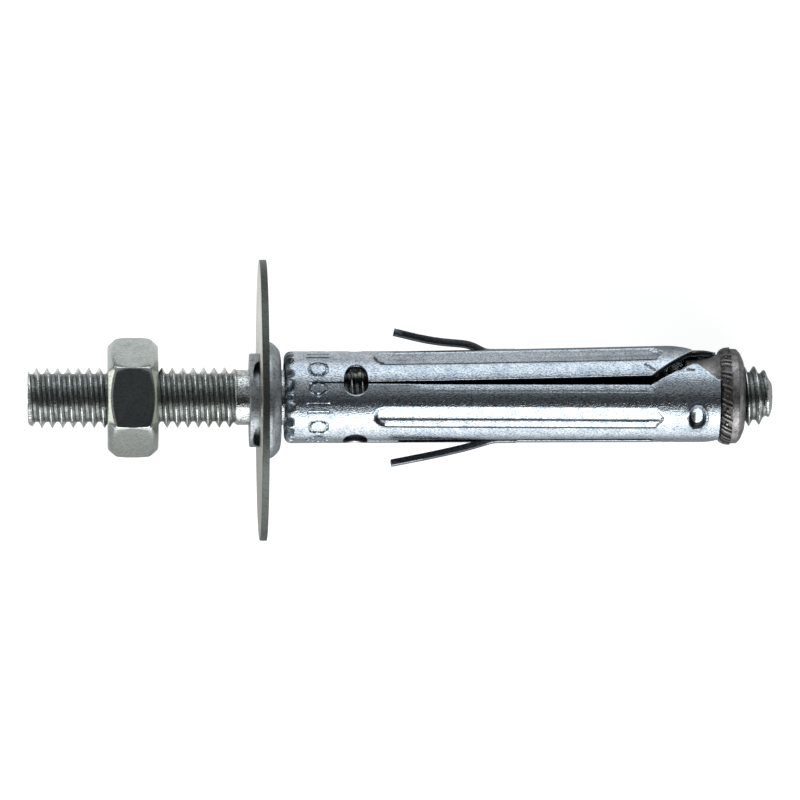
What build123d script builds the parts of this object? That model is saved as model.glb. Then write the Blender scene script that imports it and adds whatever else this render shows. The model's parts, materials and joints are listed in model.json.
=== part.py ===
"""Steel expansion anchor: a threaded stud with a cone nut at its far end, a rolled and slit
expansion sleeve with two barbs, a wide washer on a domed bush, and a hex nut.

The anchor lies on a floor as it comes to rest: on the rim of its wide washer and on the rim of
its cone nut. So the stud's axis leans down towards +X. Distances along the stud are measured
from its nut end, and angles round it from the direction that faces straight up off the floor,
growing towards +Y.
"""

from build123d import *

import os
from math import atan, cos, degrees, radians, sin

# Stud
stud_length = 71.7
thread_radius = 2.9
thread_root_radius = 2.3
thread_pitch = 1.0
lead_radius = 2.5
lead_length = 0.9
shank_radius = 2.65
shank_start = 19.9
shank_end = 27.0
runout = 0.3
tip_radius = 1.6
tip_rounding = 1.4

# Hex nut
nut_start = 7.75
nut_height = 4.9
nut_across_flats = 10.0
nut_bore_radius = 2.95
nut_face_radius = 4.55
nut_chamfer_slope = 0.73
nut_chamfer_crown = 8.0

# Wide washer, riding high on the stud and a little to one side
washer_start = 22.3
washer_thickness = 0.7
washer_radius = 13.5
washer_hole_radius = 4.1
washer_edge = 0.08
bush_side_play = 0.28
bush_lift = 0.26

# Domed bush: a barrel staked over on the nut side and flanged into a dome on the sleeve side
bush_bore_radius = 3.3
bush_barrel_radius = 4.0
staked_ring_start = 21.35
staked_ring_radius = 4.5
staked_notch_count = 4
staked_notch_angle = 33
staked_notch_depth = 0.6
staked_notch_half_width = 1.6
dome_radius = 5.6
dome_rim_length = 0.3
dome_crown = 24.4
dome_crown_radius = 4.05
dome_wall = 0.55
dome_pocket_radius = 4.9

# Expansion sleeve, rolled from sheet
sleeve_start = 24.7
sleeve_end = 66.4
sleeve_radius = 4.42
sheet = 0.6
turned_in_radius = 3.3
turned_in_corner = 0.9
seam_angle = 18.5
seam_width = 0.1
finger_count = 4
slit_width = 0.45
slit_end = 60.1
punched_hole_at = 31.5
punched_hole_half_length = 1.18
punched_hole_half_width = 1.6
punched_hole_turn = 4.0

# Finger ends: two wide heads with a pointed finger between them on each side
head_peak_at = 64.2
head_peak_angle = 30.0
head_back_at = 66.2
head_back_angle = 4.0
point_at = 63.8
point_half_width = 0.25
point_root_angle = 4.5

# Pressed grooves and dimples
groove_start = 33.2
groove_end = 61.0
groove_width = 1.9
groove_depth = 0.35
rib_inner_radius = 3.47
rib_width = 1.6
rib_height = 0.5
dimple_at = 64.2
dimple_half_length = 0.87
dimple_half_width = 1.05
dimple_depth = 0.3

# Barbs, bent out of the pointed fingers beside a slit
barb_angle_from_slit = 11.5
barb_half_width = 0.75
barb_window_half_width = 0.85
barb_window_start = 35.6
barb_root = 46.0
barb_foot_length = 1.1
barb_tip_at = 35.3
barb_tip_radius = 6.6
barb_thickness = 0.55
barb_end_slope = 0.25
barb_foot_step = 0.08

# Cone nut
cone_start = 63.4
cone_nose_radius = 3.45
cone_bore_radius = 2.92
cone_mouth = 66.5
cone_mouth_radius = 3.75
cone_shoulder_at = 67.1
cone_shoulder_radius = 4.45
cone_rim_at = 68.3
cone_rim_radius = 4.54
cone_bevel_at = 68.6
cone_bevel_radius = 4.15
cone_end = 68.9
cone_end_radius = 3.5

# The lean that puts both rims on the floor
washer_end = washer_start + washer_thickness
washer_reach = washer_radius - bush_lift
lean = degrees(atan((washer_reach - cone_rim_radius) / (cone_rim_at - washer_end)))
along = Vector(cos(radians(lean)), 0, -sin(radians(lean)))
outward = Vector(sin(radians(lean)), 0, cos(radians(lean)))
sideways = Vector(0, 1, 0)

# Where the stud's nut end is, with the anchor centred over the origin
start_height = cone_rim_at * sin(radians(lean)) + cone_rim_radius * cos(radians(lean))
low_end_x = stud_length * cos(radians(lean)) + tip_radius * sin(radians(lean))
high_end_x = -lead_radius * sin(radians(lean))
start_x = -(low_end_x + high_end_x) / 2
start = Vector(start_x, bush_side_play, start_height)
stud_axis = Axis(start, along)
bush_start = start + outward * bush_lift - sideways * bush_side_play
bush_axis = Axis(bush_start, along)

# How far cutting tools reach past a face
reach = 1.0


def across(distance, origin=start):
    """A plane square to the stud, with its own x towards +Y and its y straight off the floor."""
    return Plane(origin=origin + along * distance, x_dir=sideways, z_dir=along)


def facing(angle, distance_out=0.0, origin=start):
    """A plane facing out from the stud at an angle, with its own x along the stud."""
    normal = outward * cos(radians(angle)) + sideways * sin(radians(angle))
    return Plane(origin=origin + normal * distance_out, x_dir=along, z_dir=normal)


def section(angle=0.0, origin=start):
    """A plane through the stud's axis, with its own x along the stud and its y outwards."""
    out = outward * cos(radians(angle)) + sideways * sin(radians(angle))
    return Plane(origin=origin, x_dir=along, z_dir=along.cross(out))


def thread_rings(first, last):
    """Profile points of a thread drawn as sharp rings, from one crest back to another."""
    turns = round((last - first) / thread_pitch)
    crests = [(last - thread_pitch * turn, thread_radius) for turn in range(turns + 1)]
    roots = [(distance - thread_pitch / 2, thread_root_radius) for distance, radius in crests[:-1]]
    return sorted(crests + roots, reverse=True)


finger_pitch = 360 / finger_count
slit_angles = [seam_angle + finger_pitch * i for i in range(finger_count)]
head_angles = [seam_angle - finger_pitch / 2, seam_angle + 3 * finger_pitch / 2]
point_angles = [seam_angle + finger_pitch / 2, seam_angle - 3 * finger_pitch / 2]

os.makedirs("parts", exist_ok=True)


# Stud: threaded at both ends, with the plain shank of the rolled blank between them
with BuildPart() as stud:
    with BuildSketch(section()):
        with BuildLine():
            Polyline(
                *thread_rings(shank_end + runout, stud_length - tip_rounding),
                (shank_end, shank_radius),
                (shank_start + runout, shank_radius),
                *thread_rings(lead_length, shank_start),
                (0, lead_radius),
                (0, 0),
                (stud_length, 0),
                (stud_length, tip_radius),
            )
            TangentArc(
                (stud_length - tip_rounding, thread_radius),
                (stud_length, tip_radius),
                tangent=(1, 0),
            )
        make_face()
    revolve(axis=stud_axis)
stud.part.label = "stud"
export_step(stud.part, "parts/stud.step")


# Hex nut: one flat faces straight off the floor, and both ends have a slightly crowned chamfer
with BuildPart() as hex_nut:
    with BuildSketch(across(nut_start)):
        RegularPolygon(nut_across_flats / 2, 6, major_radius=False)
        Circle(nut_bore_radius, mode=Mode.SUBTRACT)
    extrude(amount=nut_height)
    corner_radius = nut_across_flats / 2 / cos(radians(30))
    chamfer_length = (corner_radius - nut_face_radius) * nut_chamfer_slope
    near_face = (nut_start, nut_face_radius)
    near_corner = (nut_start + chamfer_length, corner_radius)
    far_corner = (nut_start + nut_height - chamfer_length, corner_radius)
    far_face = (nut_start + nut_height, nut_face_radius)
    with BuildSketch(section()):
        with BuildLine():
            RadiusArc(near_face, near_corner, nut_chamfer_crown)
            Line(near_corner, far_corner)
            RadiusArc(far_corner, far_face, nut_chamfer_crown)
            Polyline(far_face, (nut_start + nut_height, 0), (nut_start, 0), near_face)
        make_face()
    revolve(axis=stud_axis, mode=Mode.INTERSECT)
hex_nut.part.label = "hex_nut"
export_step(hex_nut.part, "parts/hex_nut.step")


# Wide flat washer, stamped from sheet
with BuildPart() as flat_washer:
    with BuildSketch(across(washer_start, bush_start)):
        Circle(washer_radius)
        Circle(washer_hole_radius, mode=Mode.SUBTRACT)
    extrude(amount=washer_thickness)
    rims = flat_washer.edges().filter_by(GeomType.CIRCLE).sort_by(SortBy.LENGTH)[-2:]
    chamfer(rims, length=washer_edge)
flat_washer.part.label = "flat_washer"
export_step(flat_washer.part, "parts/flat_washer.step")


# Domed bush: the staked ring and its notches first, then the barrel and the dome
notch_radius = (staked_notch_half_width**2 + staked_notch_depth**2) / (2 * staked_notch_depth)
notch_centre = washer_start - staked_notch_depth + notch_radius
with BuildPart() as domed_bush:
    with BuildSketch(across(staked_ring_start, bush_start)):
        Circle(staked_ring_radius)
        Circle(bush_bore_radius, mode=Mode.SUBTRACT)
    extrude(amount=washer_start - staked_ring_start)
    for notch in range(staked_notch_count):
        notch_angle = staked_notch_angle + 360 * notch / staked_notch_count
        with BuildSketch(facing(notch_angle, bush_barrel_radius - reach / 2, bush_start)):
            with Locations((notch_centre, 0)):
                Circle(notch_radius)
        extrude(amount=2 * reach, mode=Mode.SUBTRACT)
    with BuildSketch(section(origin=bush_start)):
        with BuildLine():
            Polyline(
                (dome_crown, dome_crown_radius),
                (dome_crown, bush_bore_radius),
                (staked_ring_start, bush_bore_radius),
                (staked_ring_start, bush_barrel_radius),
                (dome_crown - dome_wall, bush_barrel_radius),
                (washer_end + dome_rim_length, dome_pocket_radius),
                (washer_end, dome_pocket_radius),
                (washer_end, dome_radius),
                (washer_end + dome_rim_length, dome_radius),
            )
            RadiusArc(
                (washer_end + dome_rim_length, dome_radius),
                (dome_crown, dome_crown_radius),
                2 * (dome_crown - washer_end),
            )
        make_face()
    revolve(axis=bush_axis)
domed_bush.part.label = "domed_bush"
export_step(domed_bush.part, "parts/domed_bush.step")


# Expansion sleeve: a rolled tube with its near end turned in, then cut, pressed and barbed
inner_radius = sleeve_radius - sheet
with BuildPart() as expansion_sleeve:
    corner_at = sleeve_start + turned_in_corner
    inner_corner = turned_in_corner - sheet
    with BuildSketch(section()):
        with BuildLine():
            Polyline(
                (corner_at, sleeve_radius),
                (sleeve_end, sleeve_radius),
                (sleeve_end, inner_radius),
                (corner_at, inner_radius),
            )
            RadiusArc(
                (corner_at, inner_radius),
                (sleeve_start + sheet, inner_radius - inner_corner),
                -inner_corner,
            )
            Polyline(
                (sleeve_start + sheet, inner_radius - inner_corner),
                (sleeve_start + sheet, turned_in_radius),
                (sleeve_start, turned_in_radius),
                (sleeve_start, sleeve_radius - turned_in_corner),
            )
            RadiusArc(
                (sleeve_start, sleeve_radius - turned_in_corner),
                (corner_at, sleeve_radius),
                turned_in_corner,
            )
        make_face()
    revolve(axis=stud_axis)

    # Ribs inside and grooves outside, pressed down the middle of every finger
    groove_middle = (groove_start + groove_end) / 2
    groove_length = groove_end - groove_start
    for angle in head_angles + point_angles:
        with BuildSketch(facing(angle, rib_inner_radius)):
            with Locations((groove_middle, 0)):
                SlotOverall(groove_length, rib_width)
        extrude(amount=rib_height)
        with BuildSketch(facing(angle, sleeve_radius - groove_depth)):
            with Locations((groove_middle, 0)):
                SlotOverall(groove_length, groove_width)
        extrude(amount=reach, mode=Mode.SUBTRACT)

    # The butt seam of the rolled sheet, from the turned-in end to the first punched hole
    with BuildSketch(facing(seam_angle, turned_in_radius - reach)):
        with Locations(((sleeve_start + punched_hole_at) / 2, 0)):
            Rectangle(punched_hole_at - sleeve_start + reach, seam_width)
    extrude(amount=2 * reach + sleeve_radius - turned_in_radius, mode=Mode.SUBTRACT)

    # Four slits, each from its punched hole
    for angle in slit_angles:
        with BuildSketch(facing(angle, rib_inner_radius - reach)):
            with Locations(((punched_hole_at + slit_end) / 2, 0)):
                Rectangle(slit_end - punched_hole_at, slit_width)
        extrude(amount=3 * reach, mode=Mode.SUBTRACT)
        with BuildSketch(facing(angle + punched_hole_turn, rib_inner_radius - reach)):
            with Locations((punched_hole_at, 0)):
                Ellipse(punched_hole_half_length, punched_hole_half_width)
        extrude(amount=3 * reach, mode=Mode.SUBTRACT)

    # The end of each slit forks round the pointed finger and opens between the two heads
    root_width = sleeve_radius * sin(radians(finger_pitch / 2))
    point_root_width = sleeve_radius * sin(radians(finger_pitch / 2 - point_root_angle))
    peak_width = sleeve_radius * sin(radians(finger_pitch / 2 - head_peak_angle))
    back_width = sleeve_radius * sin(radians(finger_pitch / 2 - head_back_angle))
    for angle in point_angles:
        with BuildSketch(facing(angle, rib_inner_radius - reach)):
            with BuildLine():
                Polyline(
                    (slit_end, root_width),
                    (head_peak_at, peak_width),
                    (head_back_at, back_width),
                    (sleeve_end + reach, back_width),
                    (sleeve_end + reach, -back_width),
                    (head_back_at, -back_width),
                    (head_peak_at, -peak_width),
                    (slit_end, -root_width),
                    (slit_end, -point_root_width),
                    (point_at, -point_half_width),
                    (point_at, point_half_width),
                    (slit_end, point_root_width),
                    close=True,
                )
            make_face()
        extrude(amount=3 * reach, mode=Mode.SUBTRACT)

    # A round dimple in each wide head
    for angle in head_angles:
        with BuildSketch(facing(angle, sleeve_radius - dimple_depth)):
            with Locations((dimple_at, 0)):
                Ellipse(dimple_half_length, dimple_half_width)
        extrude(amount=reach, mode=Mode.SUBTRACT)

    # Two barbs, each bent out of a window beside a slit
    for angle in point_angles:
        barb_angle = angle + finger_pitch / 2 - barb_angle_from_slit
        with BuildSketch(facing(barb_angle, rib_inner_radius - reach)):
            with Locations(((barb_window_start + barb_root) / 2, 0)):
                Rectangle(barb_root - barb_window_start, 2 * barb_window_half_width)
        extrude(amount=3 * reach, mode=Mode.SUBTRACT)
        with BuildSketch(section(barb_angle)):
            with BuildLine():
                foot = barb_root + barb_foot_length
                foot_outside = inner_radius + barb_thickness - barb_foot_step
                Polyline(
                    (foot, foot_outside),
                    (barb_root, foot_outside),
                    (barb_tip_at, barb_tip_radius),
                    (barb_tip_at - barb_thickness * barb_end_slope, barb_tip_radius - barb_thickness),
                    (barb_root - barb_thickness * barb_end_slope, inner_radius),
                    (foot, inner_radius),
                    close=True,
                )
            make_face()
        extrude(amount=barb_half_width, both=True)
expansion_sleeve.part.label = "expansion_sleeve"
export_step(expansion_sleeve.part, "parts/expansion_sleeve.step")


# Cone nut: a wedge that starts inside the heads and ends in a wider rim
with BuildPart() as cone_nut:
    with BuildSketch(section()):
        with BuildLine():
            Polyline(
                (cone_start, cone_bore_radius),
                (cone_start, cone_nose_radius),
                (cone_mouth, cone_mouth_radius),
                (cone_shoulder_at, cone_shoulder_radius),
                (cone_rim_at, cone_rim_radius),
                (cone_bevel_at, cone_bevel_radius),
                (cone_end, cone_end_radius),
                (cone_end, cone_bore_radius),
                close=True,
            )
        make_face()
    revolve(axis=stud_axis)
cone_nut.part.label = "cone_nut"
export_step(cone_nut.part, "parts/cone_nut.step")
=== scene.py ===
import json
from math import cos, pi, radians, sin, tan

import bmesh
import bpy
import numpy as np
from mathutils import Matrix, Vector


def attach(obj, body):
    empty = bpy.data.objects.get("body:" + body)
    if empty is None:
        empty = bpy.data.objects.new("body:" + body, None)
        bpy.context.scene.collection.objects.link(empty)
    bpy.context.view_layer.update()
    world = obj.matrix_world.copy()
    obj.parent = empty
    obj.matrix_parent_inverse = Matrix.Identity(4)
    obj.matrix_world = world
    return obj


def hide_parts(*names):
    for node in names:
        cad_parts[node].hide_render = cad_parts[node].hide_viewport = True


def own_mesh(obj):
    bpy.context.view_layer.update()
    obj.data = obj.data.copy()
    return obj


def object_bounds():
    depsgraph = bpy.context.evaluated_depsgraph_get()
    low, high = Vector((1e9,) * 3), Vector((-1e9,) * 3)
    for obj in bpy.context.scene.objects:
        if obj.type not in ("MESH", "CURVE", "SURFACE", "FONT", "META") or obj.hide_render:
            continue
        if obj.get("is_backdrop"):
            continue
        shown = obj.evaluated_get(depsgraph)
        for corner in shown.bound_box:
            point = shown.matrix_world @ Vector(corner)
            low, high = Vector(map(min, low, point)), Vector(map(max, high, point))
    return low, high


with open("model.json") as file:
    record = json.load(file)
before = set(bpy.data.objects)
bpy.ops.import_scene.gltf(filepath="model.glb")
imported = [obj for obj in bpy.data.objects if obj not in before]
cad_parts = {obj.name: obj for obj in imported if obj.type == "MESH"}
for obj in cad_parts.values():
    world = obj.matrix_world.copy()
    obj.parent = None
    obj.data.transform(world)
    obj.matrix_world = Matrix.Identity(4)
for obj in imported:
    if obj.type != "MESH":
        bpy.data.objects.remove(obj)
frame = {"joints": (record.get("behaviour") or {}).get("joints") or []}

cad_low, cad_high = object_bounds()

# Sizes are in millimetres and angles in degrees, until place() turns them to the frame's metres.
# "at" is how far along the stud from its nut end. Angles go round it from the side that faces up
# off the floor, towards +Y. A stroke is a line's half width and its fade.
mm = 0.001
nut_joint = next(j for j in frame["joints"] if j["name"] == "nut_turn")
nut_middle = 10.2
along = np.array(nut_joint["axis"])
sideways = np.array((0.0, 1.0, 0.0))
outward = np.cross(along, sideways)
stud_start = np.array(nut_joint["pos_m"]) - along * nut_middle * mm
bush_side_play = 0.28
bush_lift = 0.26
bush_start = stud_start + (outward * bush_lift - sideways * bush_side_play) * mm

# Stud and its rolled threads
stud_length = 71.7
pitch = 1.0
crest_radius = 2.9
root_radius = 2.31
crest_half_flat = 0.035
flank_angle = 60.0
turn_steps = (0.0, 0.035, 0.12, 0.2, 0.28, 0.37, 0.45, 0.55, 0.63, 0.72, 0.8, 0.88, 0.965)
thread_phase = 0.76
shank_radius = 2.65
shank_start = 20.25
shank_end = 27.0
runout = 0.55
lead_radius = 2.5
lead_length = 0.9
end_taper_at = 69.2
end_taper_length = 2.75
end_taper_power = 3.2
stud_from = 0.12
cap_run = 1.0
bore_clearance = 0.04
bore_fade = 0.3
# Painted shade in the thread's roots
root_dark = 0.7
root_dark_height = 0.24
root_dark_fade = 0.2
root_dark_to = 70.8
# Painted shade over the stretch of stud that lies inside the sleeve
hidden_dark = 0.85
hidden_stretch = (53.5, 64.5, 1.5, 0.5)

# Hex nut
nut_start = 7.75
nut_height = 4.9
nut_across_flats = 10.0
nut_face_radius = 4.6
nut_face_spread = 0.5
nut_chamfer_length = 0.4
nut_chamfer_spread = 0.62
nut_corner_blend = 0.9
nut_corner_steps = (0.5, 1.1, 1.8, 2.6, 3.6, 5.0)
nut_softness_at_face = 45
nut_softness = 200
nut_mouth_radius = 3.12
nut_rounding = (0.05, 0.2, 0.26, 0.4)

# Wide washer and its domed bush
washer_start = 22.3
washer_end = 23.0
washer_radius = 13.5
washer_hole_radius = 4.1
washer_rounding = (0.1, 0.16, 0.06, 0.05)
# Painted shade over the washer's rim
washer_dark_rim = 0.1
washer_dark_fade = 0.08
bush_bore_radius = 3.3
bush_barrel_radius = 4.0
staked_ring_start = 21.35
staked_ring_radius = 4.5
staked_chamfer = 0.2
staked_notch_depth = 0.6
staked_notch_half_width = 1.6
staked_notch_angle = 33.0
staked_notch_floor = 3.5
barrel_foot = 0.05
dome_radius = 5.6
dome_rim_length = 0.3
dome_rim_curve = 0.25
dome_shoulder_length = 0.12
dome_shoulder_width = 0.75
dome_crown = 24.4
dome_crown_radius = 4.05
dome_wall = 0.55
dome_pocket_radius = 4.9
bush_rounding = (0.1, 0.14, 0.05, 0.03, 0.03, 0.02, 0.1, 0.1, 0.05, 0.12, 0.5, 0.3, 0.3, 0.1)

# Expansion sleeve
sleeve_start = 24.7
sleeve_end = 66.4
sleeve_radius = 4.42
degree = radians(1) * sleeve_radius
sheet = 0.6
turned_in_radius = 3.3
turned_in_corner = 0.68
collar_rows = 42
collar_rows_apart = 0.12
crimp_depth = 0.62
crimp_from = 3.32
crimp_rise = 0.25
crimp_past_corner = 0.3
crimp_fade = 0.5
pleat_count = 22
pleat_waves = ((1.3, 5, 0), (0.8, 11, 40), (0.25, 7, 20))
pleat_mean = 0.75
pleat_steepness = 1.4
pleat_flat = 0.25
seam_angle = 18.5
seam_from = 27.2
seam_fade = 0.2
seam_depth = 0.32
seam_stroke = (0.085, 0.06)
slit_half_width = 0.09
slit_end_half_width = 0.24
slit_growth = 0.7
slit_end = 60.1
hole_at = 31.5
hole_half_length = 1.18
hole_half_width = 1.56
hole_turn = 5.0
hole_offset = hole_turn * degree
fingers_from = hole_at - hole_half_length
mark_at = 27.9
mark_pitch = 26.0
mark_past_seam = 6.0
mark_depth = 0.16
ring_stretch = 1.15
ring_radius = 0.76
ring_stroke = (0.14, 0.08)
bar_off_middle = 0.36
bar_stroke = (0.13, 0.08)
bar_reach = (1.12, 0.1)
diamond_stretch = (1.25, 0.85)
diamond_size = 0.85
diamond_stroke = (0.17, 0.1)

# Wide heads and pointed fingers
head_angles = (seam_angle - 45, seam_angle + 135)
point_angles = (seam_angle + 45, seam_angle - 135)
finger_half_width = 43 * degree
head_fork_from = 59.65
head_peak_from = 63.9
head_peak_to = 64.3
head_peak_angle = 28.8
head_back_at = 66.2
head_back_angle = 4.0
head_bevel = 0.34
head_bevel_length = 0.65
head_cut_past_hole = 0.3
point_at = 63.8
point_half_width = 0.25
point_root_angle = 4.5
point_root_length = 0.3
point_bend = (0.56, 0.0)
point_bend_from = 34.0
point_bend_power = 1.3
slit_softness = 0.09
hole_softness = 0.12
head_softness = 0.2
point_softness = 0.16
wall_corner = np.radians((0, 22.5, 45, 67.5, 90))
wall_shares = np.linspace(0, 1, 4)[1:-1]
side_columns = 2 * len(wall_corner) + len(wall_shares) - 2

# Lines pressed in the fingers
groove_start = 33.1
groove_end = 61.1
groove_width = 2.3
groove_tip_slope = 0.75
groove_step = 0.1
groove_fall = 0.2
groove_level = 0.12
groove_near_wall = 0.75
groove_near_depth = 0.45
groove_wall = 0.09
groove_far_wall = 0.2
groove_crease_depth = 0.13
groove_crease_at = -0.32
groove_crease_stroke = (0.11, 0.08)
crease_from_round_end = (0.02, 0.1)
crease_from_tip = (0.1, 0.2)
groove_drift = -0.25
point_groove_wall = 0.22
point_crease_at = -1.06
point_groove_aside = -0.33
point_groove_share = 0.75
dimple_at = 64.2
dimple_half_length = 0.84
dimple_half_width = 1.25
dimple_depth = 0.45
dimple_off_middle = -0.15
dimple_bowl_to = 1.06
dimple_bowl_wall = 0.42
dimple_rim_height = 0.08
dimple_rim_at = 1.12
dimple_rim_width = 0.13
tick_depth = 0.13
tick_stroke = (0.13, 0.1)
point_ticks = (((59.2, -2.0), (60.1, -2.75)), ((59.8, 0.6), (60.6, -0.25)))
head_ticks = (((62.6, 4.8), (63.9, 4.72)),)
lip_width = 0.62
lip_depth = 0.13
lip_crease_at = 0.67
lip_crease_depth = 0.035
lip_crease_stroke = (0.08, 0.07)
lip_stretch = (36.0, 60.7, 2.5, 0.6)

# Barbs and their windows
barb_angle_from_point = 33.5
barb_window_angle = 22.5
barb_window_start = 35.6
barb_window_ramp = 0.2
barb_root = 46.0
barb_foot = 47.0
barb_outline = (
    ((44.1, 4.42), (42.6, 5.22), (39.0, 5.54), (35.3, 6.44)),
    ((44.9, 4.42), (42.0, 5.25), (39.0, 5.92), (34.95, 6.7)),
)
barb_rounding = (0.5, 0.8, 1.6)
barb_thickness = 0.6
barb_half_width = 0.72
barb_softness = 0.06
barb_rows = 72

# How much painted shade the sleeve's cut edges, barbs, inside and pressed lines get, and where
edge_shade_stroke = (0.38, 0.15)
edge_shade_before = 0.3
edge_shade_fade = 0.2
barb_dark = 0.72
barb_dark_above = 0.3
barb_dark_from = 37.9
inside_dark = 0.8
inside_from = 0.3
inside_fade = 0.2
line_dark_inset = 0.5
line_dark_fade = 0.3
head_line_width = 0.09
point_line_width = 0.14
wall_dark = 0.5
wall_dark_inset = 0.04
wall_dark_width = 0.07
round_end_dark = 0.95
round_end_band = (0.05, 0.62, 0.1, 0.15)
dimple_top = (1.16, 0.13, 0.45, 0.3)
dimple_bottom = (0.92, 0.15, 0.1, 0.3)

# Rows of the fingers' surface, close together where a line is pressed: from, to and how many
edge_crowding = 1.2
finger_stretches = (
    (32.75, 34.6, 20),
    (35.2, 35.2, 1),
    (barb_window_start - 0.05, barb_window_start + 0.25, 6),
    (36.5, 44.0, 9),
    (barb_root - 0.25, barb_root + 0.05, 6),
    (45.3, 58.6, 14),
    (slit_end - 1.1, groove_end + 0.2, 25),
)
head_stretches = finger_stretches + ((61.5, 63.2, 7), (63.4, 65.7, 27), (65.85, sleeve_end, 11))
point_stretches = finger_stretches + ((61.5, point_at, 12),)

# Cone nut
cone_profile = ((63.4, 3.45), (65.8, 3.66), (66.9, 4.38), (67.7, 4.57), (68.25, 4.54), (68.6, 4.15),
                (68.9, 3.45))
cone_rounding = (0.5, 0.15, 0.12, 0.1, 0.1)
cone_band = (66.5, 67.62)
cone_band_rows = 22
cone_mark_height = 0.23
cone_mark_pitch = 6.0
cone_mark_lean = 5.0
cone_mark_stroke = (0.3, 0.08)
cone_mark_fade = 0.08
cone_third_shorter = 0.4
cone_fifth_shorter = 0.2
# Painted shade on the band, in the low places between the raised bars
cone_dark = 0.7
cone_dark_fade = 0.06
cone_dark_below = 0.75
cone_dark_depth = 0.03


def place(at, radius, angle, origin=stud_start):
    """Points in metres, from distances along the stud and radii in mm and angles in degrees."""
    at, radius, angle = np.broadcast_arrays(at, radius, np.radians(angle))
    out = outward * np.cos(angle)[..., None] + sideways * np.sin(angle)[..., None]
    return origin + along * mm * at[..., None] + out * mm * radius[..., None]


def out_at(angle):
    """The direction straight out from the stud's axis at an angle."""
    return outward * cos(radians(angle)) + sideways * sin(radians(angle))


def smooth(value):
    """A ramp from 0 to 1 with level ends: three times the square less twice the cube."""
    value = np.clip(value, 0.0, 1.0)
    return value * value * (3 - 2 * value)


def between(value, low, high, fade, last_fade=None):
    """1 between two limits and 0 outside them, with a smooth ramp inside each."""
    return smooth((value - low) / fade) * smooth((high - value) / (last_fade or fade))


def stripe(off, half_width, fade):
    """1 near a line and 0 away from it."""
    return smooth((half_width - np.abs(off)) / fade)


def bell(off, width):
    """1 on a line, less beside it: e to the power of minus the squared share of the width."""
    return np.exp(-((off / width) ** 2))


def rounded(corners, reach, steps=3):
    """A profile whose inner corners are turned to parabolas, which start a reach before each.

    A corner is a pair of distance and radius, and either may be an array over the angle.
    """
    nearly_half = 0.48
    width = np.broadcast(*[np.asarray(v, float) for pair in corners for v in pair]).shape
    chain = np.array([[np.broadcast_to(v, width) for v in pair] for pair in corners], float)
    rows = [chain[0]]
    for before, corner, after, amount in zip(chain, chain[1:], chain[2:], reach):
        if amount == 0:
            rows.append(corner)
            continue
        ends = []
        for side in (before - corner, after - corner):
            length = np.sqrt((side**2).sum(axis=0)) + 1e-12
            ends.append(corner + side * np.minimum(amount / length, nearly_half))
        for t in np.linspace(0, 1, steps + 1):
            rows.append((1 - t) ** 2 * ends[0] + 2 * t * (1 - t) * corner + t**2 * ends[1])
    rows.append(chain[-1])
    rows = np.array(rows)
    return rows[:, 0], rows[:, 1]


def grid_faces(rows, columns, first):
    """The four-sided faces of a grid of points that is stored row after row."""
    index = first + np.arange(rows * columns).reshape(rows, columns)
    corners = (index[:-1, :-1], index[1:, :-1], index[1:, 1:], index[:-1, 1:])
    return np.stack(corners, axis=-1).reshape(-1, 4)


def add_object(name, data):
    """A new object in the scene."""
    item = bpy.data.objects.new(name, data)
    bpy.context.scene.collection.objects.link(item)
    return item


def build(name, grids, material, body, node, sharp=38):
    """One piece from grids of points, with equal points merged and faces turned outwards."""
    faces = []
    first = 0
    for grid in grids:
        faces.append(grid_faces(grid.shape[0], grid.shape[1], first))
        first += grid.shape[0] * grid.shape[1]
    points = np.concatenate([grid.reshape(-1, 3) for grid in grids])
    mesh = bpy.data.meshes.new(name)
    mesh.from_pydata(points.tolist(), [], np.concatenate(faces).tolist())
    shell = bmesh.new()
    shell.from_mesh(mesh)
    bmesh.ops.remove_doubles(shell, verts=shell.verts, dist=2e-7)
    bmesh.ops.dissolve_degenerate(shell, edges=shell.edges, dist=1e-7)
    bmesh.ops.recalc_face_normals(shell, faces=shell.faces)
    shell.to_mesh(mesh)
    shell.free()
    mesh.polygons.foreach_set("use_smooth", np.ones(len(mesh.polygons), bool))
    mesh.set_sharp_from_angle(angle=radians(sharp))
    mesh.materials.append(material)
    piece = add_object(name, mesh)
    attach(piece, body)
    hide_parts(node)
    return piece


def point_arms(piece, origin):
    """For every point: its arm from an origin and its distance along, in metres."""
    points = np.empty(len(piece.data.vertices) * 3)
    piece.data.vertices.foreach_get("co", points)
    arm = points.reshape(-1, 3) - origin
    return arm, arm @ along


def measured(piece, origin=stud_start):
    """For every point: distance along the stud, radius, and how far its surface faces outwards."""
    arm, at = point_arms(piece, origin)
    normals = np.empty(arm.size)
    piece.data.vertices.foreach_get("normal", normals)
    arm = arm - at[:, None] * along
    radius = np.sqrt((arm**2).sum(axis=1)) + 1e-9
    facing = (arm * normals.reshape(-1, 3)).sum(axis=1) / radius
    return at / mm, radius / mm, facing


def darken(piece, share):
    """Keeps with every point of a piece how much painted shade it gets, from 0 to 1."""
    piece.data.attributes.new("painted_shade", "FLOAT", "POINT").data.foreach_set("value", share)


def thread_radius(at, angle):
    """The rolled thread's radius: flat crests, straight flanks at 60 degrees and flat roots, by
    how far a point is from a crest in turns of the right-hand helix."""
    turns = at / pitch + angle / 360 + thread_phase
    offset = np.abs((turns + 0.5) % 1.0 - 0.5) * pitch
    flank = crest_radius - (offset - crest_half_flat) * tan(radians(flank_angle))
    return np.clip(flank, root_radius, crest_radius)


def bore_radius(at, angle):
    """The radius of a threaded bore: the stud's thread and a little room."""
    return thread_radius(at, angle) + bore_clearance


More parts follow.
